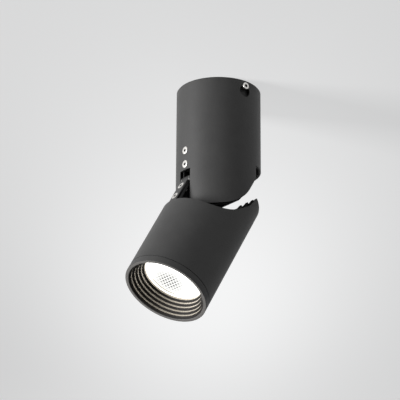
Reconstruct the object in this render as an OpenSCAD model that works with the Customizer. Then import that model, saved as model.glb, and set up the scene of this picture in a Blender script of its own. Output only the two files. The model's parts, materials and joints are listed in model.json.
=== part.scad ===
// Surface mounted ceiling spotlight. A ceiling tube and a lamp head of one diameter meet
// along a curved split, and the head folds out on a hinge at the back of the split.
// Millimetres, +Z up. The origin is on the ceiling, at the middle of the ceiling tube.
// X points from the hinge to the jaw, where the split opens, and Y runs along the hinge pin.
// Depths in the head are counted up from its mouth.

/* [Tubes] */
// Outer diameter of the ceiling tube and of the lamp head
tube_d = 60; // [58:0.5:64]
// Wall of both tubes
tube_wall = 2; // [1.8:0.1:2.2]
// Height of the ceiling tube at the hinge
canopy_h = 94.7; // [92:0.5:98]
// How much higher the rim of the ceiling tube is at the jaw than at the hinge
jaw_rise = 33.7; // [32:0.1:36]
// Height of the lamp head at the hinge, from its mouth to its rim
head_h = 60.1; // [58:0.1:75]
// Tilt of the head as it is drawn, in degrees
rest_tilt = 30; // [0:1:90]

/* [Split] */
// Distance from the back of the tube to the start of the bend
bend_inset = 9.7; // [8:0.1:11]
// Slope of the ramp after the bend, in degrees
ramp_angle = 56; // [52:1:58]
// Length of the ramp along X
ramp_run = 7.6; // [6:0.1:9]
// Depth of the jaw, from the front of the tube back to its step
jaw_depth = 18.4; // [17:0.1:20]
// Gap along the split when the head hangs straight
split_gap = 1.7; // [1.5:0.1:2.5]
// Gap over the rim of the jaw when the head hangs straight
jaw_gap = 2.6; // [2:0.1:4]
// Gap at the corner of the step when the head hangs straight
step_gap = 0.4; // [0.4:0.1:0.8]
// How far the step of the head leans forward on its way up
step_lean = 1.8; // [1:0.1:2.4]

/* [Hinge] */
// Distance from the bore of the tube in to the middle of the hinge pin
pivot_inset = 1.5; // [1.4:0.1:2]
// Distance from the rim of the ceiling tube up to the hinge pin
pivot_rise = 21.6; // [21:0.1:22.5]
// Diameter of the hinge pin
pin_d = 3; // [2:0.1:3.2]
// Outer radius of the hinge knuckles
knuckle_r = 3; // [2.8:0.1:3.1]
// Width of the slot in the ceiling tube
slot_w = 11.1; // [11:0.1:12]
// Distance from the hinge pin up to the top of the slot
slot_rise = 7; // [6:0.1:7.6]
// Thickness of each ear of the hinge bracket
ear_t = 1.1; // [0.8:0.1:1.1]
// Width of the hinge arm and of the tongue that covers it
arm_w = 7.8; // [7:0.1:7.8]
// Thickness of the friction washers
washer_t = 0.25; // [0.2:0.05:0.3]
// Thickness of the plate of the hinge bracket
bracket_t = 3; // [2:0.1:3.5]
// Height of the plate of the hinge bracket
bracket_h = 19.5; // [18.5:0.1:20]
// Thickness of the hinge arm
arm_t = 2; // [1.5:0.1:2.5]
// How far the tongue lies inside the outer face of the head
tongue_sink = 0.4; // [0.2:0.1:0.6]
// Distance from the top of the slot up to the middle of the two bracket screws
bracket_screw_rise = 9.5; // [9:0.1:10]
// Distance from the hinge pin down to the middle of the two arm screws
arm_screw_drop = 13.3; // [12.5:0.1:13.5]
// Distance between the two screws of a pair
screw_pitch = 10.2; // [9:0.1:10.5]

/* [Screws] */
// Thread diameter of all screws
screw_d = 3; // [2.5:0.1:3]
// Diameter of the countersunk heads
csk_d = 5.4; // [5:0.1:5.6]
// Height of the countersunk cone
csk_h = 1.2; // [1:0.1:1.4]
// Height of the flat heads
pan_h = 1.3; // [1:0.1:1.6]
// Diameter of the flat heads
pan_d = 4.9; // [4.6:0.1:5.2]
// Width of the hexagon socket across its corners
socket_d = 2.3; // [1.8:0.1:2.4]
// Depth of the hexagon socket
socket_h = 0.8; // [0.6:0.1:0.9]

/* [Ceiling plate] */
// Thickness of the flange that lies on the ceiling
flange_t = 0.8; // [0.6:0.1:1.2]
// How far the flange stays inside the outer face of the tube
flange_inset = 0.7; // [0.4:0.1:1]
// Thickness of the cup of the plate under the flange
plate_t = 1.2; // [1:0.1:2]
// Distance from the edge of the cup to the end of a fixing slot
fixing_edge = 4.7; // [4:0.1:6]
// Width of a fixing slot
fixing_w = 4.2; // [3.8:0.1:4.6]
// Length of a fixing slot from end to end
fixing_l = 8; // [6:0.5:9]
// Thickness of the two side ears
side_ear_t = 1.5; // [1.2:0.1:1.8]
// Width of the two side ears
side_ear_w = 12; // [9:0.5:13]
// Distance from the ceiling down to the lower edge of the side ears
side_ear_drop = 12.5; // [11.5:0.5:13]
// Distance from the ceiling down to the side screws
set_drop = 4.6; // [4.4:0.1:5]
// Distance from the ceiling down to the round end of the keyhole
keyhole_drop = 8.2; // [8:0.1:9]
// Diameter of the round end of the keyhole
keyhole_d = 8.6; // [6:0.1:8.8]
// Bore of the mains grommet
mains_bore = 8; // [6:0.1:8.5]

/* [Driver] */
// Gap between the bulkhead and the hinge bracket under it
bulkhead_gap = 0.5; // [0.3:0.1:2]
// Thickness of the bulkhead
bulkhead_t = 1.5; // [1.2:0.1:1.8]
// Room between the corners of the driver case and the bore
case_room = 5; // [3:0.1:6]
// Height of the driver case as a share of the height over the bulkhead
case_share = 0.57; // [0.5:0.01:0.6]
// Wall of the driver case
case_wall = 1.5; // [1.2:0.1:1.8]
// Thickness of the driver's circuit board
board_t = 1.2; // [1:0.1:1.6]

/* [Lamp head] */
// Height of the front ring
bezel_h = 5.3; // [5:0.1:6]
// Width of the dark groove between the front ring and the tube
seam_w = 0.3; // [0.2:0.05:0.5]
// Width of the front ring's face
rim_w = 2.3; // [2.2:0.05:2.4]
// Number of steps in the baffle
baffle_steps = 5; // [4:1:6]
// Depth of one step of the baffle
step_pitch = 2.6; // [2.4:0.05:2.7]
// Width of one step of the baffle
step_in = 1.25; // [1.1:0.05:1.3]
// Height of the upright land of each step
step_land = 1.2; // [0.8:0.1:1.4]
// Thickness of the lens
lens_t = 1.8; // [1.5:0.1:2.5]
// Thickness of the gasket over the lens
gasket_t = 1; // [0.8:0.1:1.5]
// Thickness of the reflector
reflector_t = 1; // [0.8:0.1:1.2]
// Height of the reflector cup
cup_h = 15.8; // [15:0.1:17]
// Radius of the small end of the reflector cup
cup_r = 7; // [6.6:0.1:7.5]
// Radius of the light source
chip_r = 5.5; // [4.5:0.1:6]
// Thickness of the light source
chip_t = 0.8; // [0.6:0.1:1]
// Radius of the board under the light source
led_board_r = 14; // [13.5:0.5:16]
// Thickness of the board under the light source
led_board_t = 1.6; // [1.2:0.1:2]
// Thickness of the holder ring
holder_t = 2.4; // [2:0.1:2.6]

/* [Heat sink] */
// Thickness of the base of the heat sink
base_t = 8; // [6:0.5:9]
// Distance between two fins
fin_pitch = 3.7; // [3.5:0.05:3.9]
// Thickness of a fin
fin_t = 1.75; // [1.4:0.05:2]
// How far the fins stay inside the bore of the head
fin_inset = 1; // [0.8:0.1:1.6]
// Distance from the end of the bend back to the middle of the first fin on the ramp
fin_lead = 1.2; // [1:0.1:1.4]
// How far the top of that fin lies below the end of the bend
first_fin_sink = 2.5; // [2.2:0.1:3]
// Slope of the line that the tops of the fins follow on the ramp, in degrees
fin_angle = 61.5; // [60:0.5:62]
// How far the fins behind the ramp stay below the split
fin_sink = 2; // [1.5:0.1:4]
// How far the fins in the jaw stay below its rim
fin_top_gap = 0.4; // [0.3:0.1:2]

/* [Hidden] */
$fn = 96;

// Clearances and overruns
over = 1;
seat = 0.05;
slip = 0.3;
pin_fit = 0.05;
press_fit = 0.02;
hole_fit = 0.15;
thread_fit = 0.05;

// Radii of the tubes
out_r = tube_d / 2;
in_r = out_r - tube_wall;

// Split, and the heights that follow from it
jaw_h = canopy_h - jaw_rise;
straight_h = canopy_h + split_gap + head_h;
bend_back = out_r - bend_inset;
step_x = out_r - jaw_depth;
split_r = (step_x + bend_back - ramp_run) / sin(ramp_angle);
bend_points = 24;

// Hinge places
pivot_back = in_r - pivot_inset;
pivot_drop = canopy_h - pivot_rise;
slot_drop = pivot_drop - slot_rise;
bracket_screw_drop = slot_drop - bracket_screw_rise;
half_arm = arm_w / 2;
ear_in = half_arm + washer_t + 2 * seat;
ear_out = ear_in + ear_t;
bracket_bottom = slot_drop - 2 * slip;
bracket_top = bracket_bottom - bracket_h;
ear_lap = 6;
tongue_top = pivot_drop + knuckle_r + slip;
arm_foot = 1.5;
screw_bite = 3.4;

// Bosses that carry the bulkhead and the heat sink
boss_r = 3.4;
boss_bite = 0.2;
boss_y = in_r - boss_r + boss_bite;
boss_h = 9;
boss_gap = 0.2;

// Ceiling plate
plate_r = in_r - slip;
plate_drop = flange_t + plate_t;
fixing_spacing = 2 * (plate_r - fixing_edge) - fixing_l;
side_ear_y = in_r - 2 * slip;
grommet_wall = 1.2;
mains_hole_r = mains_bore / 2 + grommet_wall + seat;
grommet_lip = 1.4;
grommet_lip_h = 0.9;

// Terminal block
block_l = 20;
block_w = 9;
block_h = 8;
block_y = 14.5;
pole_pitch = 6.4;
pole_r = 1.3;
pole_depth = 5;

// Driver
bulkhead_bottom = bracket_top - bulkhead_gap;
bulkhead_drop = bulkhead_bottom - bulkhead_t;
outlet_r = 3.2;
outlet_wall = 1;
outlet_y = boss_y - boss_r - boss_gap - outlet_r - outlet_wall;
outlet_gap = 0.8;
case_w = 2 * (outlet_y - outlet_r - outlet_gap);
case_l = 2 * sqrt(pow(in_r - case_room, 2) - pow(case_w / 2, 2));
case_h = case_share * (bulkhead_drop - plate_drop);
case_bottom = bulkhead_drop - seat;
case_top = case_bottom - case_h;
cover_t = 1.5;
cover_lap = 2;
case_screw_inset = 7;
case_screw_x = case_l / 2 - case_screw_inset;
case_boss_r = 3;
case_boss_h = 5;
board_lift = case_boss_h + 2 * seat;
parts_h = case_h - board_lift - board_t - cover_lap;
coil_l = 12;
coil_w = 11;
coil_share = 0.58;
cap_r = 4;
cap_share = 0.64;

// Head, depths counted up from the mouth
mouth_r = out_r - rim_w;
baffle_top = baffle_steps * step_pitch + step_land / 2;
lens_low = baffle_top + seat;
lens_top = lens_low + lens_t;
gasket_low = lens_top + seat;
rim_low = gasket_low + gasket_t + seat;
cup_top = rim_low + reflector_t + cup_h;
holder_low = cup_top + seat;
holder_top = holder_low + holder_t;
board_low = holder_top + seat;
base_low = board_low + led_board_t + seat;
base_top = base_low + base_t;
ring_r = in_r - 2 * slip;
spigot_wall = 1.05;
spigot_r = in_r - seat;
spigot_in = spigot_r - spigot_wall;
shoulder_low = 3.8;
baffle_wall = 1.25;
baffle_edge = 0.3;
gasket_w = 3;
holder_screw_x = 11;
lead_r = 2.2;
lead_inset = 5.2;
lead_x = in_r - lead_inset;
lead_wall = 0.8;

// Fins: the lead hole stays free behind them
fin_r = in_r - fin_inset;
first_fin_x = step_x - ramp_run - fin_lead;
fins_behind = floor((lead_x - lead_r - fin_t / 2 + first_fin_x) / fin_pitch);
fins_ahead = floor((fin_r - fin_t / 2 - first_fin_x) / fin_pitch);

tube_color = [0.16, 0.16, 0.17];
steel_color = [0.75, 0.75, 0.77];
zinc_color = [0.6, 0.62, 0.66];
cast_color = [0.3, 0.3, 0.32];
rubber_color = [0.08, 0.08, 0.08];
board_color = [0.1, 0.35, 0.18];
white_color = [0.92, 0.92, 0.9];

// Height of the split at x behind the ramp, moved down by gap
function bend_z(x, gap) = x < -bend_back ? -canopy_h - gap :
    split_r - canopy_h - sqrt(pow(split_r + gap, 2) - pow(x + bend_back, 2));

// The end of the bend, moved square to the split by gap
function bend_end(gap) = [(split_r + gap) * sin(ramp_angle) - bend_back,
    split_r - canopy_h - (split_r + gap) * cos(ramp_angle)];

// Height of the ramp at x, moved square to the split by gap
function ramp_z(x, gap) = bend_end(gap)[1] + (x - bend_end(gap)[0]) * tan(ramp_angle);

// Foot of the head's step: it clears the corner of the ceiling tube by step_gap
step_rise = -jaw_h - jaw_gap - ramp_z(step_x, 0);
step_run = step_lean * (ramp_z(step_x, 0) - ramp_z(step_x, split_gap)) / step_rise;
head_foot_x = step_x + step_gap - step_run / 2;

function bend_curve(gap) = [for (i = [0:bend_points]) let (a = ramp_angle * i / bend_points)
    [(split_r + gap) * sin(a) - bend_back, split_r - canopy_h - (split_r + gap) * cos(a)]];

// Outline of all that lies above the split of the ceiling tube
function canopy_side() = concat([[-tube_d, over], [-tube_d, -canopy_h]], bend_curve(0),
    [[step_x, ramp_z(step_x, 0)], [step_x, -jaw_h], [tube_d, -jaw_h], [tube_d, over]]);

// Outline of all that is cut away above the split of the head
function head_side() = concat([[-tube_d, over], [-tube_d, -canopy_h - split_gap]],
    bend_curve(split_gap), [[head_foot_x, ramp_z(head_foot_x, split_gap)],
    [step_x + step_gap + step_lean, -jaw_h - jaw_gap], [tube_d, -jaw_h - jaw_gap],
    [tube_d, over]]);

// A side outline made a block across the tube
module across(points) rotate([90, 0, 0])
    linear_extrude(height = 2 * tube_d, center = true) polygon(points);

// A round bar or ring between two heights
module ring(r, hole, low, high) difference() {
    translate([0, 0, low]) cylinder(r = r, h = high - low);
    if (hole > 0) translate([0, 0, low - over]) cylinder(r = hole, h = high - low + 2 * over);
}

// A block between two corners
module block(low, high) translate(low) cube(high - low);

// Drawn straight, shown at the rest tilt
module tilted() translate([-pivot_back, 0, -pivot_drop]) rotate([0, rest_tilt, 0])
    translate([pivot_back, 0, pivot_drop]) children();

// A round hole or bar along X, from x inwards for length
module along_x(x, z, r, length) translate([x, 0, z]) rotate([0, 90, 0]) cylinder(r = r, h = length);

// Countersunk screw, head at the outer face of a tube, pointing forward along X
module csk_screw(face_x, z) difference() {
    union() {
        translate([face_x, 0, z]) rotate([0, 90, 0])
            cylinder(r1 = csk_d / 2, r2 = screw_d / 2 - thread_fit, h = csk_h);
        along_x(face_x - press_fit, z, csk_d / 2, 2 * press_fit);
        along_x(face_x, z, screw_d / 2 - thread_fit, tube_wall + screw_bite);
    }
    translate([face_x - over, 0, z]) rotate([0, 90, 0])
        cylinder(d = socket_d, h = socket_h + over, $fn = 6);
}

// The hole that such a screw sits in
module csk_hole(face_x, z) {
    translate([face_x, 0, z]) rotate([0, 90, 0])
        cylinder(r1 = csk_d / 2 + thread_fit, r2 = screw_d / 2, h = csk_h);
    along_x(face_x - over, z, csk_d / 2 + thread_fit, over);
    along_x(face_x, z, screw_d / 2 + hole_fit, tube_wall + over);
}

// Flat headed screw pointing up, with its head under low
module up_screw(low, length) difference() {
    union() {
        translate([0, 0, low - pan_h]) cylinder(d = pan_d, h = pan_h);
        translate([0, 0, low - seat]) cylinder(r = screw_d / 2 - thread_fit, h = length);
    }
    translate([0, 0, low - pan_h - over]) cylinder(d = socket_d, h = socket_h + over, $fn = 6);
}

// The two places of a pair of screws around a middle height
module screw_pair(z) for (s = [-1, 1]) translate([0, 0, z + s * screw_pitch / 2]) children();

// The two places either side of the tube along Y
module both_sides(y) for (s = [-1, 1]) translate([0, s * y, 0]) children();

// Round boss on the inside of a tube with its screw hole, between two heights
module bosses(low, high) both_sides(boss_y) translate([0, 0, low]) cylinder(r = boss_r, h = high - low);
module boss_holes(low, high) both_sides(boss_y)
    translate([0, 0, low]) cylinder(r = screw_d / 2, h = high - low);

module ceiling_plate() color(zinc_color) difference() {
    union() {
        ring(out_r - flange_inset, 0, -flange_t, 0);
        ring(plate_r, 0, -plate_drop, -flange_t / 2);
        intersection() {
            ring(plate_r, 0, -side_ear_drop, -flange_t / 2);
            for (s = [-1, 1]) block(
                [-side_ear_w / 2, s > 0 ? side_ear_y - side_ear_t : -side_ear_y, -side_ear_drop],
                [side_ear_w / 2, s > 0 ? side_ear_y : side_ear_t - side_ear_y, 0]);
        }
    }
    // Two slots for the ceiling screws
    for (s = [-1, 1]) translate([s * fixing_spacing / 2, 0, -plate_drop - over]) {
        for (e = [-1, 1]) translate([e * (fixing_l - fixing_w) / 2, 0, 0])
            cylinder(d = fixing_w, h = plate_drop + 2 * over);
        block([(fixing_w - fixing_l) / 2, -fixing_w / 2, 0],
            [(fixing_l - fixing_w) / 2, fixing_w / 2, plate_drop + 2 * over]);
    }
    translate([0, 0, -plate_drop - over]) cylinder(r = mains_hole_r, h = plate_drop + 2 * over);
    translate([0, tube_d, -set_drop]) rotate([90, 0, 0]) cylinder(r = screw_d / 2, h = 2 * tube_d);
}

module mains_grommet() color(rubber_color) difference() {
    union() {
        ring(mains_hole_r - seat, 0, -plate_drop - grommet_lip_h, -seat);
        ring(mains_hole_r + grommet_lip, 0, -plate_drop - seat - grommet_lip_h, -plate_drop - seat);
    }
    translate([0, 0, -side_ear_drop]) cylinder(d = mains_bore, h = side_ear_drop + over);
}

module terminal_block() color(white_color) difference() {
    block([-block_l / 2, block_y - block_w / 2, -plate_drop - seat - block_h],
        [block_l / 2, block_y + block_w / 2, -plate_drop - seat]);
    for (i = [-1, 0, 1]) {
        translate([i * pole_pitch, block_y - block_w / 2 - over, -plate_drop - block_h / 2])
            rotate([-90, 0, 0]) cylinder(r = pole_r, h = block_w + 2 * over);
        translate([i * pole_pitch, block_y, -plate_drop - block_h - over])
            cylinder(r = pole_r, h = pole_depth);
    }
}

// Keyholes in the ceiling tube: the round end slips over the side screw
module keyholes() {
    translate([0, tube_d, -keyhole_drop]) rotate([90, 0, 0]) cylinder(d = keyhole_d, h = 2 * tube_d);
    translate([0, tube_d, -set_drop]) rotate([90, 0, 0])
        cylinder(r = screw_d / 2 + hole_fit, h = 2 * tube_d);
    block([-screw_d / 2 - hole_fit, -tube_d, -keyhole_drop], [screw_d / 2 + hole_fit, tube_d, -set_drop]);
}

module canopy_shell() color(tube_color) difference() {
    union() {
        intersection() {
            ring(out_r, in_r, -canopy_h - over, -flange_t - seat);
            across(canopy_side());
        }
        intersection() {
            bosses(-bulkhead_bottom - boss_h, -bulkhead_bottom - seat);
            ring(in_r + tube_wall / 2, 0, -canopy_h, 0);
        }
    }
    boss_holes(-bulkhead_bottom - boss_h - over, -bulkhead_bottom + over);
    block([-tube_d, -slot_w / 2, -canopy_h - over], [-pivot_back / 2, slot_w / 2, -slot_drop]);
    screw_pair(-bracket_screw_drop) csk_hole(-out_r, 0);
    keyholes();
}

module set_screws() color(steel_color) for (s = [0, 180]) rotate([0, 0, s])
    translate([0, 0, -set_drop]) rotate([90, 0, 0]) difference() {
        union() {
            translate([0, 0, out_r + press_fit]) cylinder(d = pan_d, h = pan_h);
            translate([0, 0, side_ear_y - side_ear_t - over])
                cylinder(r = screw_d / 2 - thread_fit, h = out_r - side_ear_y + side_ear_t + 2 * over);
        }
        translate([0, 0, out_r + pan_h - socket_h + press_fit])
            cylinder(d = socket_d, h = socket_h + over, $fn = 6);
    }

module driver_bulkhead() color(cast_color) difference() {
    ring(plate_r, 0, -bulkhead_bottom, -bulkhead_drop);
    both_sides(boss_y) translate([0, 0, -bulkhead_bottom - over])
        cylinder(r = screw_d / 2 + hole_fit, h = bulkhead_t + 2 * over);
    for (s = [-1, 1]) translate([s * case_screw_x, 0, -bulkhead_bottom - over])
        cylinder(r = screw_d / 2 + hole_fit, h = bulkhead_t + 2 * over);
    translate([0, outlet_y, -bulkhead_bottom - over])
        cylinder(r = outlet_r, h = bulkhead_t + 2 * over);
}

module bulkhead_screws() color(steel_color) both_sides(boss_y)
    translate([0, 0, -bulkhead_drop + seat]) mirror([0, 0, 1])
        up_screw(0, bulkhead_t + boss_h - over);

module bulkhead_grommet() color(rubber_color) translate([0, outlet_y, 0]) difference() {
    union() {
        ring(outlet_r - seat, 0, -bulkhead_bottom - seat, -bulkhead_drop + seat);
        ring(outlet_r + outlet_wall, 0, -bulkhead_bottom - seat - outlet_wall, -bulkhead_bottom - seat);
    }
    translate([0, 0, -bulkhead_bottom - 2 * over])
        cylinder(r = outlet_r - outlet_wall, h = bulkhead_t + 4 * over);
}

module driver_case() color(rubber_color) difference() {
    union() {
        difference() {
            block([-case_l / 2, -case_w / 2, -case_bottom], [case_l / 2, case_w / 2, -case_top]);
            block([case_wall - case_l / 2, case_wall - case_w / 2, case_wall - case_bottom],
                [case_l / 2 - case_wall, case_w / 2 - case_wall, over - case_top]);
        }
        for (s = [-1, 1]) translate([s * case_screw_x, 0, -case_bottom])
            cylinder(r = case_boss_r, h = case_boss_h);
    }
    for (s = [-1, 1]) translate([s * case_screw_x, 0, -case_bottom - over])
        cylinder(r = screw_d / 2, h = case_boss_h + 2 * over);
    // Outlet for the lamp leads beside the base
    translate([0, case_w / 2 - case_wall - over, board_lift / 2 - case_bottom])
        rotate([-90, 0, 0]) cylinder(r = pole_r, h = case_wall + 2 * over);
}

module driver_board() color(board_color) {
    low = board_lift - case_bottom;
    block([slip + case_wall - case_l / 2, slip + case_wall - case_w / 2, low],
        [case_l / 2 - case_wall - slip, case_w / 2 - case_wall - slip, low + board_t]);
    block([-coil_l / 2, -coil_w / 2, low], [coil_l / 2, coil_w / 2, low + board_t + coil_share * parts_h]);
    for (s = [-1, 1]) translate([s * case_screw_x, 0, low])
        cylinder(r = cap_r, h = board_t + cap_share * parts_h);
}

module driver_cover() color(rubber_color) difference() {
    union() {
        block([-case_l / 2, -case_w / 2, seat - case_top], [case_l / 2, case_w / 2, seat + cover_t - case_top]);
        block([case_wall + slip - case_l / 2, case_wall + slip - case_w / 2, -case_top - cover_lap],
            [case_l / 2 - case_wall - slip, case_w / 2 - case_wall - slip, cover_t - case_top]);
    }
    translate([0, 0, -case_top - cover_lap - over]) cylinder(r = pole_r, h = cover_lap + cover_t + 3 * over);
}

module driver_screws() color(steel_color) for (s = [-1, 1])
    translate([s * case_screw_x, 0, 0]) up_screw(-bulkhead_bottom - seat, bulkhead_t + case_boss_h - over);

module hinge_bracket() color(zinc_color) difference() {
    union() {
        intersection() {
            block([-tube_d, -ear_out, -bracket_bottom], [bracket_t - in_r, ear_out, -bracket_top]);
            ring(in_r - seat, 0, -bracket_bottom, -bracket_top);
        }
        for (s = [-1, 1]) {
            block([-pivot_back - knuckle_r / 4, s > 0 ? ear_in : -ear_out, -pivot_drop],
                [knuckle_r - pivot_back, s > 0 ? ear_out : -ear_in, ear_lap - bracket_bottom]);
            translate([-pivot_back, s > 0 ? ear_out : -ear_in, -pivot_drop])
                rotate([90, 0, 0]) cylinder(r = knuckle_r, h = ear_t);
        }
    }
    translate([-pivot_back, tube_d, -pivot_drop]) rotate([90, 0, 0])
        cylinder(r = pin_d / 2 + press_fit, h = 2 * tube_d);
    screw_pair(-bracket_screw_drop) along_x(-tube_d, 0, screw_d / 2, tube_d);
}

module hinge_screws() color(steel_color) screw_pair(-bracket_screw_drop) csk_screw(-out_r, 0);

module pivot_pin() color(steel_color) translate([-pivot_back, ear_out, -pivot_drop])
    rotate([90, 0, 0]) cylinder(r = pin_d / 2, h = 2 * ear_out);

module friction_washers() color(steel_color) for (s = [-1, 1])
    translate([-pivot_back, s * (half_arm + seat + washer_t / 2), -pivot_drop]) rotate([90, 0, 0])
        difference() {
            cylinder(r = knuckle_r - 2 * seat, h = washer_t, center = true);
            cylinder(r = pin_d / 2 + pin_fit, h = washer_t + over, center = true);
        }

module head_shell() color(tube_color) tilted() difference() {
    union() {
        difference() {
            ring(out_r, in_r, bezel_h - straight_h, -jaw_h - jaw_gap);
            across(head_side());
        }
        // Tongue that reaches up through the slot of the ceiling tube
        intersection() {
            ring(out_r - tongue_sink, in_r, -canopy_h - split_gap - over, -tongue_top);
            block([-tube_d, -half_arm, -canopy_h - split_gap - over], [-pivot_back / 2, half_arm, 0]);
        }
        intersection() {
            bosses(base_top + seat - straight_h, base_top + seat + boss_h - straight_h);
            ring(in_r + tube_wall / 2, 0, -straight_h, 0);
        }
    }
    boss_holes(base_top - straight_h, base_top + boss_h + over - straight_h);
    screw_pair(-pivot_drop - arm_screw_drop) csk_hole(tongue_sink - out_r, 0);
}

module hinge_arm() color(zinc_color) tilted() difference() {
    union() {
        intersection() {
            block([-tube_d, -half_arm, -canopy_h - split_gap - arm_foot],
                [arm_t - in_r, half_arm, -pivot_drop]);
            ring(in_r - seat, 0, -canopy_h - split_gap - arm_foot, -pivot_drop);
        }
        translate([-pivot_back, half_arm, -pivot_drop]) rotate([90, 0, 0])
            cylinder(r = knuckle_r, h = arm_w);
    }
    translate([-pivot_back, tube_d, -pivot_drop]) rotate([90, 0, 0])
        cylinder(r = pin_d / 2 + pin_fit, h = 2 * tube_d);
    screw_pair(-pivot_drop - arm_screw_drop) along_x(-tube_d, 0, screw_d / 2, tube_d);
}

module arm_screws() color(steel_color) tilted()
    screw_pair(-pivot_drop - arm_screw_drop) csk_screw(tongue_sink - out_r, 0);

// Height of the top of the fin at x
function fin_top(x) = min(-jaw_h - jaw_gap - fin_top_gap,
    max(bend_z(min(x, 0), split_gap) - fin_sink,
        bend_end(0)[1] - first_fin_sink + (x - first_fin_x) * tan(fin_angle)));

// One fin across the head, with a round top
module fin(x) {
    block([x - fin_t / 2, -tube_d, base_top - straight_h - over],
        [x + fin_t / 2, tube_d, fin_top(x) - fin_t / 2]);
    translate([x, tube_d, fin_top(x) - fin_t / 2]) rotate([90, 0, 0]) cylinder(d = fin_t, h = 2 * tube_d);
}

module heat_sink() color(cast_color) tilted() difference() {
    union() {
        ring(in_r - seat, 0, base_low - straight_h, base_top - straight_h);
        intersection() {
            ring(fin_r, 0, base_low - straight_h, 0);
            for (i = [-fins_behind:fins_ahead]) fin(first_fin_x + i * fin_pitch);
        }
    }
    // Room for the bosses of the head, and the screws into them
    both_sides(boss_y) translate([0, 0, base_top - straight_h])
        cylinder(r = boss_r + slip, h = straight_h);
    both_sides(boss_y) translate([0, 0, base_low - straight_h - over])
        cylinder(r = screw_d / 2 + hole_fit, h = base_t + 2 * over);
    for (s = [-1, 1]) translate([s * holder_screw_x, 0, base_low - straight_h - over])
        cylinder(r = screw_d / 2, h = base_t - over);
    translate([-lead_x, 0, base_low - straight_h - over]) cylinder(r = lead_r, h = base_t + 2 * over);
}

module heat_sink_screws() color(steel_color) tilted() both_sides(boss_y)
    up_screw(base_low - seat - straight_h, base_t + boss_h - over);

module lead_grommet() color(rubber_color) tilted() translate([-lead_x, 0, -straight_h]) difference() {
    union() {
        ring(lead_r - seat, 0, base_low - seat, base_top + seat);
        ring(lead_r + lead_wall, 0, base_low - seat - lead_wall, base_low - seat);
    }
    translate([0, 0, base_low - 2 * over]) cylinder(r = lead_r - lead_wall, h = base_t + 4 * over);
}

module led_board() color(white_color) tilted() translate([0, 0, -straight_h]) difference() {
    ring(led_board_r, 0, board_low, board_low + led_board_t);
    for (s = [-1, 1]) translate([s * holder_screw_x, 0, board_low - over])
        cylinder(r = screw_d / 2 + hole_fit, h = led_board_t + 2 * over);
}

module led_chip() color([0.95, 0.8, 0.3]) tilted() translate([0, 0, -straight_h])
    ring(chip_r, 0, board_low - seat - chip_t, board_low - seat);

module led_holder() color(white_color) tilted() translate([0, 0, -straight_h]) difference() {
    ring(led_board_r, chip_r + slip, holder_low, holder_top);
    for (s = [-1, 1]) translate([s * holder_screw_x, 0, holder_low - over]) {
        cylinder(r = screw_d / 2 + hole_fit, h = holder_t + 2 * over);
        cylinder(r = pan_d / 2 + hole_fit, h = pan_h + seat + over);
    }
}

// Sunk into the holder, because the reflector opens just under it
module holder_screws() color(steel_color) tilted() for (s = [-1, 1])
    translate([s * holder_screw_x, 0, -straight_h])
        up_screw(holder_low + pan_h, holder_t - pan_h + led_board_t + base_t / 2);

// Half of the cup's outline: a curve that opens quickly at the source
cup_points = 8;
cup_mouth_r = ring_r - gasket_w - reflector_t;
function cup_at(t) = [cup_r + (cup_mouth_r - cup_r) * sqrt(t), cup_top - cup_h * t];

module reflector() color(steel_color) tilted() translate([0, 0, -straight_h]) rotate_extrude()
    polygon(concat(
        [for (i = [0:cup_points]) cup_at(i / cup_points)],
        [[cup_mouth_r, rim_low], [ring_r, rim_low], [ring_r, rim_low + reflector_t]],
        [for (i = [cup_points:-1:1]) cup_at(i / cup_points) + [reflector_t, reflector_t]],
        [[cup_r + reflector_t, cup_top]]));

module lens_gasket() color(rubber_color) tilted() translate([0, 0, -straight_h])
    ring(ring_r, ring_r - gasket_w, gasket_low, gasket_low + gasket_t);

module lens() color([0.98, 0.98, 0.95, 0.6]) tilted() translate([0, 0, -straight_h])
    ring(ring_r, 0, lens_low, lens_top);

// Radius and lowest and highest depth of the land of a baffle step
function land_r(i) = mouth_r - (i + 1) * step_in;
function land_low(i) = (i + 1) * step_pitch - step_land / 2;
function land_top(i) = (i + 1) * step_pitch + step_land / 2;
baffle_r = mouth_r - seat;
baffle_neck = spigot_in - slip;

module baffle() color(rubber_color) tilted() translate([0, 0, -straight_h]) rotate_extrude()
    polygon(concat(
        [[baffle_r, land_low(0) - step_pitch + step_land],
            [baffle_r - baffle_edge, land_low(0) - step_pitch + step_land]],
        [for (i = [0:baffle_steps - 1]) for (e = [0, 1])
            [land_r(i), e == 0 ? land_low(i) : land_top(i)]],
        [[baffle_neck, baffle_top], [baffle_neck, baffle_top - step_land],
            [land_r(baffle_steps - 2) + baffle_wall, baffle_top - step_land],
            [baffle_neck, land_top(1)], [baffle_neck, shoulder_low - seat],
            [baffle_r, shoulder_low - seat]]));

module bezel_ring() color(tube_color) tilted() translate([0, 0, -straight_h]) difference() {
    union() {
        ring(out_r, 0, 0, bezel_h - seam_w);
        ring(spigot_r, 0, shoulder_low, lens_low - seat);
    }
    translate([0, 0, -over]) cylinder(r = spigot_in, h = lens_low + 2 * over);
    translate([0, 0, -over]) cylinder(r = mouth_r, h = shoulder_low + over);
}

ceiling_plate();
mains_grommet();
terminal_block();
canopy_shell();
set_screws();
driver_bulkhead();
bulkhead_screws();
bulkhead_grommet();
driver_case();
driver_board();
driver_cover();
driver_screws();
hinge_bracket();
hinge_screws();
pivot_pin();
friction_washers();
head_shell();
hinge_arm();
arm_screws();
heat_sink();
heat_sink_screws();
lead_grommet();
led_board();
led_chip();
led_holder();
holder_screws();
reflector();
lens_gasket();
lens();
baffle();
bezel_ring();
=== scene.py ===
"""The looks of a surface mounted ceiling spotlight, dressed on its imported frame."""
import json
import math

import bmesh
import bpy
from mathutils import Matrix, Quaternion, Vector


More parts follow.
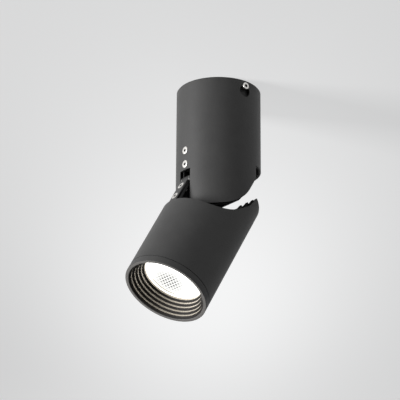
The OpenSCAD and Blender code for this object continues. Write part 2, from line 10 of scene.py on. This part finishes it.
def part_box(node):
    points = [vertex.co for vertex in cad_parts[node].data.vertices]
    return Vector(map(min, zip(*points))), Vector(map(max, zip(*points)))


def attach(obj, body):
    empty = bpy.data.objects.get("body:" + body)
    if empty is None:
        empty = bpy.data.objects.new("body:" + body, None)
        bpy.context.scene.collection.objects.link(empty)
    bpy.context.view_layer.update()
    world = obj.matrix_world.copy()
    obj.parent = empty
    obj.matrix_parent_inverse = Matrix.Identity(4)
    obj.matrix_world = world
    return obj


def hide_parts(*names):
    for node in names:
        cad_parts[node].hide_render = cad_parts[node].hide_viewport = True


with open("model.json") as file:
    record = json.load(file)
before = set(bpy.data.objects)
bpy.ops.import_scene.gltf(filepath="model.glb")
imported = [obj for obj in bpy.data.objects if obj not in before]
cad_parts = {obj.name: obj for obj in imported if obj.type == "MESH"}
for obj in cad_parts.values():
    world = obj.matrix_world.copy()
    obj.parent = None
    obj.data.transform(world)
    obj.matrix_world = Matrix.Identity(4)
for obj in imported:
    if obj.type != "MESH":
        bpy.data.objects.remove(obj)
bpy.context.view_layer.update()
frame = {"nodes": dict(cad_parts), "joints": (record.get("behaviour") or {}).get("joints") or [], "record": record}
MM = 0.001

# The camera, as it stands under the ceiling in front of the hinge
EYE = Vector((-0.8155, -1.0306, -0.5822))
LOOK = Vector((0.5727, 0.7385, 0.3560))
ROLL = math.radians(0.356)
LENS_MM = 180.18

# The hinge axis and the tilt of the head, from the frame's joint
JOINT = frame["joints"][0]
PIVOT = Vector(JOINT["pos_m"])
TILT = -math.radians(JOINT["range_deg"][0])
HEAD_TURN = (Matrix.Translation(PIVOT) @ Matrix.Rotation(TILT, 4, "Y")
             @ Matrix.Translation(-PIVOT))
HEAD_BACK = HEAD_TURN.inverted()


# Shader maths


class Flow:
    """A value that flows out of a node, so that shader maths reads as plain maths."""

    def __init__(self, graph, socket):
        self.graph, self.socket = graph, socket

    def maths(self, operation, a, b):
        return self.graph.node("ShaderNodeMath", {"operation": operation}, {0: a, 1: b})

    def __add__(self, other):
        return self.maths("ADD", self, other)

    def __radd__(self, other):
        return self.maths("ADD", self, other)

    def __sub__(self, other):
        return self.maths("SUBTRACT", self, other)

    def __rsub__(self, other):
        return self.maths("SUBTRACT", other, self)

    def __mul__(self, other):
        return self.maths("MULTIPLY", self, other)

    def __rmul__(self, other):
        return self.maths("MULTIPLY", self, other)

    def __truediv__(self, other):
        return self.maths("DIVIDE", self, other)

    def __pow__(self, other):
        return self.maths("POWER", self, other)

    def above(self, edge, soft):
        """0 below the edge and 1 above it, over a soft width."""
        ramp = (self - (edge - soft / 2)) / soft
        return self.graph.node("ShaderNodeClamp", {}, {0: ramp, 1: 0.0, 2: 1.0})


class Graph:
    """The nodes of a material or of the world."""

    def __init__(self, data):
        self.data = data
        self.data.use_nodes = True
        self.tree = self.data.node_tree
        self.tree.nodes.clear()

    def node(self, kind, settings, values, output=0):
        made = self.tree.nodes.new(kind)
        for name, setting in settings.items():
            setattr(made, name, setting)
        for key, value in values.items():
            if isinstance(value, Flow):
                self.tree.links.new(value.socket, made.inputs[key])
            else:
                made.inputs[key].default_value = value
        return Flow(self, made.outputs[output]) if made.outputs else None


class Finish(Graph):
    """One material, with the place on the piece as its only coordinates."""

    def __init__(self, name):
        super().__init__(bpy.data.materials.new(name))
        self.place = self.node("ShaderNodeTexCoord", {}, {}, "Object")

    def noise(self, size, detail=2.0, place=None):
        """Cloudy noise whose lumps are about size metres across."""
        values = {"Vector": place or self.place, "Scale": 1 / size, "Detail": detail}
        return self.node("ShaderNodeTexNoise", {}, values, "Fac")

    def part(self, axis):
        """One coordinate of the place on the piece, in metres."""
        return self.node("ShaderNodeSeparateXYZ", {}, {0: self.place}, axis)

    def mix(self, share, a, b):
        settings = {"data_type": "RGBA"}
        return self.node("ShaderNodeMix", settings, {0: share, 6: a, 7: b}, 2)

    def bump(self, height, depth):
        values = {"Height": height, "Distance": depth, "Strength": 1.0}
        return self.node("ShaderNodeBump", {}, values)

    def surface(self, **sockets):
        """The principled shader at the end. Words of a socket's name are joined with _."""
        named = {name.replace("_", " "): value for name, value in sockets.items()}
        shader = self.node("ShaderNodeBsdfPrincipled", {}, named)
        self.node("ShaderNodeOutputMaterial", {}, {"Surface": shader})
        return self.data


def grey(level, warmth=0.0):
    """An opaque grey, a little warm or cool."""
    return (level * (1 + warmth), level, level * (1 - warmth), 1.0)


# Finishes


def powder_coat():
    """Fine textured matt black powder coat: small round grains and faint cloudiness."""
    f = Finish("powder_coat")
    grains = f.noise(0.55 * MM, 2.0)
    clouds = f.noise(9 * MM, 3.0)
    color = f.mix(grains * 0.55 + clouds * 0.45, grey(0.024, 0.01), grey(0.047, 0.01))
    relief = grains * 0.7 + f.noise(1.3 * MM, 1.0) * 0.3
    return f.surface(Base_Color=color, Roughness=0.42 + grains * 0.2,
                     Specular_IOR_Level=0.35, Normal=f.bump(relief, 0.14 * MM))


def dull_black_and_painted_shade(name="dull_black_and_painted_shade"):
    """Thin dull black: the own colour of pressed parts, and painted shade on the inside of the tubes and in the
    screws' sockets.
    """
    f = Finish(name)
    color = f.mix(f.noise(3 * MM), grey(0.004), grey(0.01))
    return f.surface(Base_Color=color, Roughness=0.7 + f.noise(1 * MM) * 0.2,
                     Specular_IOR_Level=0.12, Normal=f.bump(f.noise(0.5 * MM), 0.04 * MM))


def black_fins():
    """Black anodised casting, slightly chalky on its edges."""
    f = Finish("black_fins")
    color = f.mix(f.noise(2 * MM, 3.0), grey(0.008), grey(0.022))
    return f.surface(Base_Color=color, Roughness=0.5 + f.noise(1.2 * MM) * 0.2,
                     Specular_IOR_Level=0.25, Normal=f.bump(f.noise(0.6 * MM, 3.0), 0.08 * MM))


def baffle_black():
    """Matt black moulding: the slopes between the lands."""
    f = Finish("baffle_black")
    color = f.mix(f.noise(2.5 * MM), grey(0.008, 0.1), grey(0.016, 0.12))
    return f.surface(Base_Color=color, Roughness=0.6 + f.noise(1 * MM) * 0.15,
                     Specular_IOR_Level=0.15, Normal=f.bump(f.noise(0.4 * MM), 0.03 * MM))


def baffle_land_painted_light():
    """The upright lands of the baffle, polished by the mould, with the lens's light that they catch painted on as
    a warm pale colour.
    """
    f = Finish("baffle_land_painted_light")
    color = f.mix(f.noise(2.5 * MM), (0.26, 0.23, 0.19, 1), (0.34, 0.31, 0.26, 1))
    return f.surface(Base_Color=color, Roughness=0.4 + f.noise(1 * MM) * 0.12,
                     Specular_IOR_Level=0.4, Normal=f.bump(f.noise(0.4 * MM), 0.02 * MM))


def rim_painted_highlight():
    """The turned front face of the ring, with a painted highlight: a grey much lighter than the coat, for the
    light that the face catches.
    """
    f = Finish("rim_painted_highlight")
    color = f.mix(f.noise(1.5 * MM, 3.0), grey(0.1, 0.04), grey(0.2, 0.04))
    return f.surface(Base_Color=color, Roughness=0.38 + f.noise(1 * MM) * 0.15,
                     Specular_IOR_Level=0.5, Normal=f.bump(f.noise(0.5 * MM), 0.02 * MM))


def plated_steel():
    """Bright zinc plated screws, with fine turning marks and slight staining."""
    f = Finish("plated_steel")
    stain = f.noise(1.1 * MM, 3.0)
    color = f.mix(stain, (0.62, 0.6, 0.57, 1), (0.92, 0.9, 0.87, 1))
    return f.surface(Base_Color=color, Metallic=1.0, Roughness=0.28 + stain * 0.2,
                     Normal=f.bump(f.noise(0.25 * MM, 3.0), 0.02 * MM))


def black_oxide():
    """Black oxide pressed steel of the ceiling plate and of the hinge parts."""
    f = Finish("black_oxide")
    stain = f.noise(2.4 * MM, 3.0)
    color = f.mix(stain, grey(0.012), grey(0.035))
    return f.surface(Base_Color=color, Roughness=0.4 + stain * 0.2, Specular_IOR_Level=0.3,
                     Normal=f.bump(f.noise(0.7 * MM), 0.03 * MM))


def moulding(name, dark, light, roughness, gloss=0.4):
    """Moulded plastic or rubber between two close colours."""
    f = Finish(name)
    color = f.mix(f.noise(4 * MM), dark, light)
    return f.surface(Base_Color=color, Roughness=roughness + f.noise(1.5 * MM) * 0.12,
                     Specular_IOR_Level=gloss, Normal=f.bump(f.noise(0.6 * MM), 0.03 * MM))


def bright_aluminium():
    """Vapour coated reflector with faint faceting."""
    f = Finish("bright_aluminium")
    color = f.mix(f.noise(5 * MM), grey(0.82), grey(0.92))
    return f.surface(Base_Color=color, Metallic=1.0, Roughness=0.08 + f.noise(2 * MM) * 0.1,
                     Normal=f.bump(f.noise(1.5 * MM), 0.02 * MM))


def phosphor():
    """Yellow silicone over the light source, lit."""
    f = Finish("phosphor")
    color = f.mix(f.noise(1 * MM), (0.95, 0.72, 0.2, 1), (1.0, 0.85, 0.4, 1))
    return f.surface(Base_Color=color, Roughness=0.4 + f.noise(1 * MM) * 0.1,
                     Emission_Color=color, Emission_Strength=2.0)


# The lit lens. The beads lie behind it, so that they show off its middle
LENS_GLOW = 4.0
LENS_R = 21.4 * MM
RIM_W = 0.5 * MM
WARM_RING_IN, WARM_RING_W = 2.6 * MM, 0.6 * MM
WARM_RING_SIDE = 9 * MM
BEAD_PITCH = 2.6 * MM
BEADS_R = 10.5 * MM
BEAD_SHIFT = Vector((1.9, 7.2)) * MM


def glow(red, green, blue):
    """The emission colour of the lens that looks as bright as this to the camera."""
    return (red / LENS_GLOW, green / LENS_GLOW, blue / LENS_GLOW, 1.0)


def lit_lens():
    """Lit lens: near white, with a honeycomb of faint dots, a warm ring and a warm rim."""
    f = Finish("lit_lens")
    moved = f.node("ShaderNodeVectorMath", {"operation": "SUBTRACT"}, {0: f.place, 1: PIVOT})
    local = f.node("ShaderNodeVectorRotate", {"rotation_type": "Y_AXIS"},
                   {"Vector": moved, "Angle": -TILT})
    x = f.node("ShaderNodeSeparateXYZ", {}, {0: local}, 0) + PIVOT.x
    y = f.node("ShaderNodeSeparateXYZ", {}, {0: local}, 1)
    radius = (x * x + y * y) ** 0.5
    across, along = x - BEAD_SHIFT.x, y - BEAD_SHIFT.y
    from_beads = (across * across + along * along) ** 0.5
    # Three waves at 60 degrees make the honeycomb, from 0 to 1
    wave_number = 4 * math.pi / math.sqrt(3) / BEAD_PITCH
    comb = 1.5
    for turn in (0, 60, 120):
        a = math.radians(turn)
        wave = (across * math.cos(a) + along * math.sin(a)) * wave_number
        comb = f.node("ShaderNodeMath", {"operation": "COSINE"}, {0: wave}) + comb
    comb = comb / 4.5
    dots = comb.above(0.45, 0.4) * (1 - from_beads.above(0.75 * BEADS_R, 0.5 * BEADS_R))
    middle = 1 - from_beads.above(BEADS_R + 2 * MM, 1.5 * MM)
    ring = (radius - (LENS_R - WARM_RING_IN)) / WARM_RING_W
    ring = (1 - (ring * ring).above(0.8, 0.8)) * y.above(WARM_RING_SIDE, WARM_RING_SIDE)
    rim = radius.above(LENS_R - RIM_W, 0.8 * MM)
    color = f.mix(middle, (1.0, 0.985, 0.95, 1), glow(1.05, 1.05, 1.02))
    color = f.mix(dots, color, glow(0.12, 0.125, 0.12))
    color = f.mix(ring * 0.95, color, glow(0.45, 0.4, 0.25))
    color = f.mix(rim, color, glow(0.95, 0.86, 0.7))
    return f.surface(Base_Color=grey(0.02), Roughness=0.25, Specular_IOR_Level=0.3,
                     Emission_Color=color, Emission_Strength=LENS_GLOW)


FINISHES = {
    "black_powder_coat": powder_coat(),
    "baffle_plastic": baffle_black(),
    "black_fins": black_fins(),
    "dark_plate": dull_black_and_painted_shade("dark_plate"),
    "zinc_steel": black_oxide(),
    "plated_screw": plated_steel(),
    "black_rubber": moulding("black_rubber", grey(0.015), grey(0.03), 0.6, 0.3),
    "white_plastic": moulding("white_plastic", grey(0.72, 0.02), grey(0.82, 0.02), 0.4),
    "driver_plastic": moulding("driver_plastic", grey(0.6, 0.02), grey(0.7, 0.02), 0.5),
    "green_board": moulding("green_board", (0.02, 0.14, 0.05, 1), (0.03, 0.2, 0.08, 1), 0.25),
    "led_board_white": moulding("led_board_white", grey(0.8), grey(0.88), 0.25),
    "led_phosphor": phosphor(),
    "bright_reflector": bright_aluminium(),
    "lit_lens": lit_lens(),
}
# Painted shade: near black for the inside of the tubes and the screws' sockets
PAINTED_SHADE = dull_black_and_painted_shade()
# Painted light: the lens's light on the baffle's lands, as a warm pale colour
PAINTED_LAND_LIGHT = baffle_land_painted_light()
# Painted highlight: a light grey on the ring's front face
RIM_HIGHLIGHT = rim_painted_highlight()


# Pieces

RECORD = frame["record"]
SLOTS = {row["node"]: row["material_slot"] for row in RECORD["subparts"]}
BODIES = {node: body for body, nodes in RECORD["behaviour"]["bodies"].items() for node in nodes}
TUBE_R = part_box("canopy_shell")[1][1]
MERGE = 0.001 * MM
SHARP = math.radians(32)
NEARLY_FLAT = math.radians(0.2)

# How deep the outer finish of a tube goes before the painted shade of its inside, and that of the ring's face
# before its painted highlight, and a socket's radius, whose faces are painted with shade
SKIN = 1.2 * MM
RIM_EDGE = 0.3 * MM
SOCKET_R = 1.12 * MM

# How far a face may lean and still be an upright land with painted light, or look out of the mouth and take the
# ring's painted highlight
UPRIGHT, OUTWARD = 0.35, 0.5

# The heat sink's fins, in the head's own frame, and the teeth at their ends
FIRST_FIN_X, FIN_PITCH, FIN_R = 2.8 * MM, 3.7 * MM, 27 * MM
FINS_BEHIND, FINS_AHEAD = 6, 6
FIN_FOOT = -107 * MM
BOSS_Y, BOSS_R = 24.8 * MM, 3.7 * MM
TOOTH_L, TOOTH_SLOPE, TOOTH_H = 1.4 * MM, 1.2 * MM, 2.2 * MM

# The guard in the canopy's bore: an arc about GUARD_MIDDLE, flat behind it. Its lower layer
# stands out of the bore by GUARD_OUT, which fades away over the last GUARD_FADE degrees
GUARD_MIDDLE = Vector((-20.3, 0, -65.4)) * MM
GUARD_R, GUARD_T, GUARD_OUT = 29.3 * MM, 1.2 * MM, 1.0 * MM
GUARD_LAYER = 0.2 * MM
GUARD_IN_WALL, GUARD_IN_BORE = TUBE_R - 1.7 * MM, TUBE_R - 2.1 * MM
GUARD_BACK, GUARD_TURN, GUARD_FADE, GUARD_STEPS = 4.2 * MM, 42.0, 9.0, 14


def dress_nodes():
    """Gives every CAD node the finish of its material slot."""
    for name, node in frame["nodes"].items():
        node.data.materials.clear()
        node.data.materials.append(FINISHES[SLOTS[name]])


def lower_fins(made):
    """Lowers the fins of the heat sink behind their ends, so that the ends stand up as teeth."""
    head_up = HEAD_TURN.to_3x3() @ Vector((0, 0, 1))
    for i in range(-FINS_BEHIND, FINS_AHEAD + 1):
        x = FIRST_FIN_X + i * FIN_PITCH
        end = math.sqrt(FIN_R ** 2 - x ** 2)
        if abs(x) < BOSS_R:
            end = BOSS_Y - math.sqrt(BOSS_R ** 2 - x ** 2)

        def on_fin(spot, x=x):
            return abs(spot.x - x) < FIN_PITCH / 2 and spot.z > FIN_FOOT

        for cut in (end - TOOTH_L, end - TOOTH_L - TOOTH_SLOPE):
            for side in (-1, 1):
                faces = [f for f in made.faces
                         if on_fin(HEAD_BACK @ f.calc_center_median())]
                edges = {e for f in faces for e in f.edges}
                verts = {v for f in faces for v in f.verts}
                bmesh.ops.bisect_plane(made, geom=list(verts) + list(edges) + faces,
                                       dist=MERGE, plane_co=(0, side * cut, 0),
                                       plane_no=(0, 1, 0))
        middle = end - TOOTH_L - TOOTH_SLOPE + MERGE
        lowered = [v for v in made.verts
                   if abs(v.co.y) < middle and on_fin(HEAD_BACK @ v.co)]
        bmesh.ops.translate(made, verts=lowered, vec=-head_up * TOOTH_H)


def eased_copy(name, edge, second=None, picks=None, shape=None):
    """A copy of a CAD node with its sharp edges eased, or left sharp where edge is 0. The
    faces that picks names get the second finish."""
    made = bmesh.new()
    made.from_mesh(frame["nodes"][name].data)
    bmesh.ops.remove_doubles(made, verts=made.verts, dist=MERGE)
    if shape:
        shape(made)
    bmesh.ops.dissolve_limit(made, angle_limit=NEARLY_FLAT, verts=made.verts,
                             edges=made.edges)
    sharp = [e for e in made.edges if len(e.link_faces) == 2 and e.calc_face_angle() > SHARP]
    if edge:
        bmesh.ops.bevel(made, geom=sharp, offset=edge, offset_type="OFFSET", segments=2,
                        profile=0.5, material=-1, affect="EDGES", clamp_overlap=True)
    for line in sharp if not edge else ():
        line.smooth = False
    bmesh.ops.triangulate(made, faces=made.faces)
    for face in made.faces:
        face.smooth = True
        face.material_index = int(picks is not None and picks(face))
    data = bpy.data.meshes.new(name + "_eased")
    made.to_mesh(data)
    made.free()
    data.materials.append(FINISHES[SLOTS[name]])
    if second:
        data.materials.append(second)
    piece = bpy.data.objects.new(name + "_eased", data)
    bpy.context.scene.collection.objects.link(piece)
    shading = piece.modifiers.new("shading", "WEIGHTED_NORMAL")
    shading.weight, shading.keep_sharp = 100, not edge
    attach(piece, BODIES[name])
    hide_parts(name)
    return piece


def in_canopy(face):
    """Whether a face of the canopy is on its inside, which is painted with shade."""
    spot = face.calc_center_median()
    return math.hypot(spot.x, spot.y) < TUBE_R - SKIN


def in_head(face):
    """Whether a face of the head is on its inside, which is painted with shade."""
    spot = HEAD_BACK @ face.calc_center_median()
    return math.hypot(spot.x, spot.y) < TUBE_R - SKIN


def on_land(face):
    """Whether a face of the baffle is upright and faces the middle, where the lens's light is painted."""
    spot = HEAD_BACK @ face.calc_center_median()
    facing = HEAD_BACK.to_3x3() @ face.normal
    return abs(facing.z) < UPRIGHT and facing.x * spot.x + facing.y * spot.y < 0


def on_rim(face):
    """Whether a face of the front ring looks out of the mouth, inside its outer edge, where a highlight is
    painted.
    """
    spot = HEAD_BACK @ face.calc_center_median()
    facing = HEAD_BACK.to_3x3() @ face.normal
    return facing.z < -OUTWARD and math.hypot(spot.x, spot.y) < TUBE_R - RIM_EDGE


def socket_of(name, along, unturn=Matrix()):
    """A test for the sockets of a pair of screws that lie along X or along Y, which are painted with shade."""
    spots = [unturn @ v.co for v in frame["nodes"][name].data.vertices]
    low, high = (Vector([pick(p[i] for p in spots) for i in range(3)]) for pick in (min, max))
    head = (high.y - low.y if along == "X" else high.x - low.x) / 2
    ends = [low.z + head, high.z - head]
    side = (low.y + high.y) / 2 if along == "X" else (low.x + high.x) / 2

    def deep(face):
        spot = unturn @ face.calc_center_median()
        across = (spot.y if along == "X" else spot.x) - side
        return any(math.hypot(across, spot.z - z) < SOCKET_R for z in ends)
    return deep


def make_guard():
    """The curved sheet that closes the canopy's bore behind its split edge. Its upper layer
    reaches into the wall, and its lower layer stands a little out of the bore."""
    made = bmesh.new()
    layers = ((GUARD_R - GUARD_T, GUARD_IN_WALL), (GUARD_R - GUARD_LAYER, GUARD_IN_WALL),
              (GUARD_R - GUARD_LAYER, GUARD_IN_BORE), (GUARD_R + GUARD_OUT, GUARD_IN_BORE))
    left, right = [], []
    for down, reach in layers:
        spot = GUARD_MIDDLE - Vector((GUARD_BACK, 0, down))
        side = Vector((0, math.sqrt(reach ** 2 - GUARD_MIDDLE.x ** 2), 0))
        left.append(made.verts.new(spot + side))
        right.append(made.verts.new(spot - side))
    section = made.faces.new(left + right[::-1])
    grown = bmesh.ops.extrude_face_region(made, geom=[*section.verts, *section.edges, section])
    moved = [v for v in grown["geom"] if isinstance(v, bmesh.types.BMVert)]
    bmesh.ops.translate(made, verts=moved, vec=(GUARD_BACK, 0, 0))
    bmesh.ops.spin(made, geom=grown["geom"], cent=GUARD_MIDDLE, axis=(0, -1, 0),
                   angle=math.radians(GUARD_TURN), steps=GUARD_STEPS)
    for vert in made.verts:
        arm = vert.co - GUARD_MIDDLE
        arm.y = 0
        past = math.degrees(math.atan2(arm.x, -arm.z)) - (GUARD_TURN - GUARD_FADE)
        if arm.length > GUARD_R and past > 0:
            vert.co -= arm.normalized() * GUARD_OUT * past / GUARD_FADE
        # Its sides follow the round bore
        reach = vert.co.y ** 2 + GUARD_MIDDLE.x ** 2
        vert.co.y = math.copysign(math.sqrt(reach - vert.co.x ** 2), vert.co.y)
    bmesh.ops.recalc_face_normals(made, faces=made.faces)
    bmesh.ops.triangulate(made, faces=made.faces)
    data = bpy.data.meshes.new("canopy_guard")
    made.to_mesh(data)
    made.free()
    data.materials.append(FINISHES["black_fins"])
    guard = bpy.data.objects.new("canopy_guard", data)
    bpy.context.scene.collection.objects.link(guard)
    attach(guard, "canopy")


dress_nodes()
make_guard()
# The inside of both tubes and the screws' sockets get the painted shade
eased_copy("canopy_shell", 0.25 * MM, PAINTED_SHADE, in_canopy)
eased_copy("head_shell", 0.25 * MM, PAINTED_SHADE, in_head)
# The ring's front face gets the painted highlight
eased_copy("bezel_ring", 0.22 * MM, RIM_HIGHLIGHT, on_rim)
# The baffle's lands get the painted light
eased_copy("baffle", 0.1 * MM, PAINTED_LAND_LIGHT, on_land)
eased_copy("hinge_screws", 0.12 * MM, PAINTED_SHADE, socket_of("hinge_screws", "X"))
eased_copy("arm_screws", 0.12 * MM, PAINTED_SHADE, socket_of("arm_screws", "X", HEAD_BACK))
eased_copy("set_screws", 0.15 * MM, PAINTED_SHADE, socket_of("set_screws", "Y"))
eased_copy("heat_sink", 0, shape=lower_fins)


# Stage, light and camera

MIDDLE = Vector((-0.02, 0, -0.085))
LAMP_FAR = 1.3
ROOM_FILL = 0.04
MIRROR_SHARE = 0.15
CEILING_SIZE = 8.0
CEILING_UP = 0.2 * MM
# The ceiling's glow: an even base, a painted pool of light about GLOW_MIDDLE, and painted shade growing to one
# side
GLOW_BASE, GLOW_HALO, GLOW_TO_RIGHT = 0.53, 0.29, 0.018
GLOW_FALL = 0.55
GLOW_MIDDLE = Vector((0.268, 0.359, 0))
GLOW_TURN = math.atan2(LOOK.y, LOOK.x)
GLOW_LONG, GLOW_WIDE = 0.33, 0.11


def ceiling_paint():
    """Pale ceiling with a painted pool of light around the spotlight, a little darker to one side, and clear from
    above.
    """
    f = Finish("ceiling_paint")
    moved = f.node("ShaderNodeVectorMath", {"operation": "SUBTRACT"},
                   {0: f.place, 1: GLOW_MIDDLE})
    turned = f.node("ShaderNodeVectorRotate", {"rotation_type": "Z_AXIS"},
                    {"Vector": moved, "Angle": -GLOW_TURN})
    far = f.node("ShaderNodeSeparateXYZ", {}, {0: turned}, 0) / GLOW_LONG
    wide = f.node("ShaderNodeSeparateXYZ", {}, {0: turned}, 1) / GLOW_WIDE
    halo = f.node("ShaderNodeMath", {"operation": "EXPONENT"},
                  {0: (far * far + wide * wide) * -GLOW_FALL})
    level = halo * GLOW_HALO + GLOW_BASE - wide * GLOW_TO_RIGHT
    white = f.node("ShaderNodeBsdfDiffuse", {}, {"Color": grey(0.3)})
    shine = f.node("ShaderNodeEmission", {},
                   {"Color": grey(1.0, -0.004), "Strength": level})
    paint = f.node("ShaderNodeAddShader", {}, {0: white, 1: shine})
    behind = f.node("ShaderNodeNewGeometry", {}, {}, "Backfacing")
    clear = f.node("ShaderNodeBsdfTransparent", {}, {})
    both = f.node("ShaderNodeMixShader", {}, {0: behind, 1: paint, 2: clear})
    f.node("ShaderNodeOutputMaterial", {}, {"Surface": both})
    return f.data


def make_ceiling():
    """One large sheet just over the light, which faces down."""
    made = bmesh.new()
    bmesh.ops.create_grid(made, x_segments=1, y_segments=1, size=CEILING_SIZE / 2)
    bmesh.ops.reverse_faces(made, faces=made.faces)
    bmesh.ops.translate(made, verts=made.verts, vec=(0, 0, CEILING_UP))
    mesh = bpy.data.meshes.new("ceiling")
    made.to_mesh(mesh)
    made.free()
    ceiling = bpy.data.objects.new("ceiling", mesh)
    ceiling.data.materials.append(ceiling_paint())
    bpy.context.scene.collection.objects.link(ceiling)


def lamp(name, azimuth, elevation, size, power):
    """A soft square lamp that looks at the middle of the light from one side."""
    a, e = math.radians(azimuth), math.radians(elevation)
    back = Vector((math.sin(a) * math.cos(e), -math.cos(a) * math.cos(e), math.sin(e)))
    data = bpy.data.lights.new(name, "AREA")
    data.shape, data.size, data.energy = "SQUARE", size, power
    made = bpy.data.objects.new(name, data)
    made.location = MIDDLE + back * LAMP_FAR
    made.rotation_mode = "QUATERNION"
    made.rotation_quaternion = (-back).to_track_quat("-Z", "Y")
    bpy.context.scene.collection.objects.link(made)


def make_world():
    """White where a camera, mirror or glass ray ends, and a dim room for all other light."""
    world = bpy.data.worlds.new("room")
    bpy.context.scene.world = world
    g = Graph(world)
    seen, mirrored, through = (g.node("ShaderNodeLightPath", {}, {}, ray) for ray in
                               ("Is Camera Ray", "Is Glossy Ray", "Is Transmission Ray"))
    dim = g.node("ShaderNodeBackground", {}, {"Color": grey(1.0), "Strength": ROOM_FILL})
    bright = g.node("ShaderNodeBackground", {}, {"Color": grey(1.0), "Strength": 1.0})
    share = seen + mirrored * MIRROR_SHARE + through
    both = g.node("ShaderNodeMixShader", {}, {0: share, 1: dim, 2: bright})
    g.node("ShaderNodeOutputWorld", {}, {"Surface": both})


def make_camera():
    """The camera that matches the photograph."""
    data = bpy.data.cameras.new("camera")
    data.lens, data.sensor_width = LENS_MM, 36
    data.clip_start, data.clip_end = 0.05, 20
    camera = bpy.data.objects.new("camera", data)
    camera.location = EYE
    camera.rotation_mode = "QUATERNION"
    camera.rotation_quaternion = LOOK.to_track_quat("-Z", "Y") @ Quaternion((0, 0, 1), ROLL)
    bpy.context.scene.collection.objects.link(camera)
    bpy.context.scene.camera = camera


make_ceiling()
make_world()
lamp("key_lamp", -108, -8, 0.5, 31)
lamp("back_lamp", 150, -3, 0.5, 3)
make_camera()
bpy.context.scene.view_settings.view_transform = "Standard"
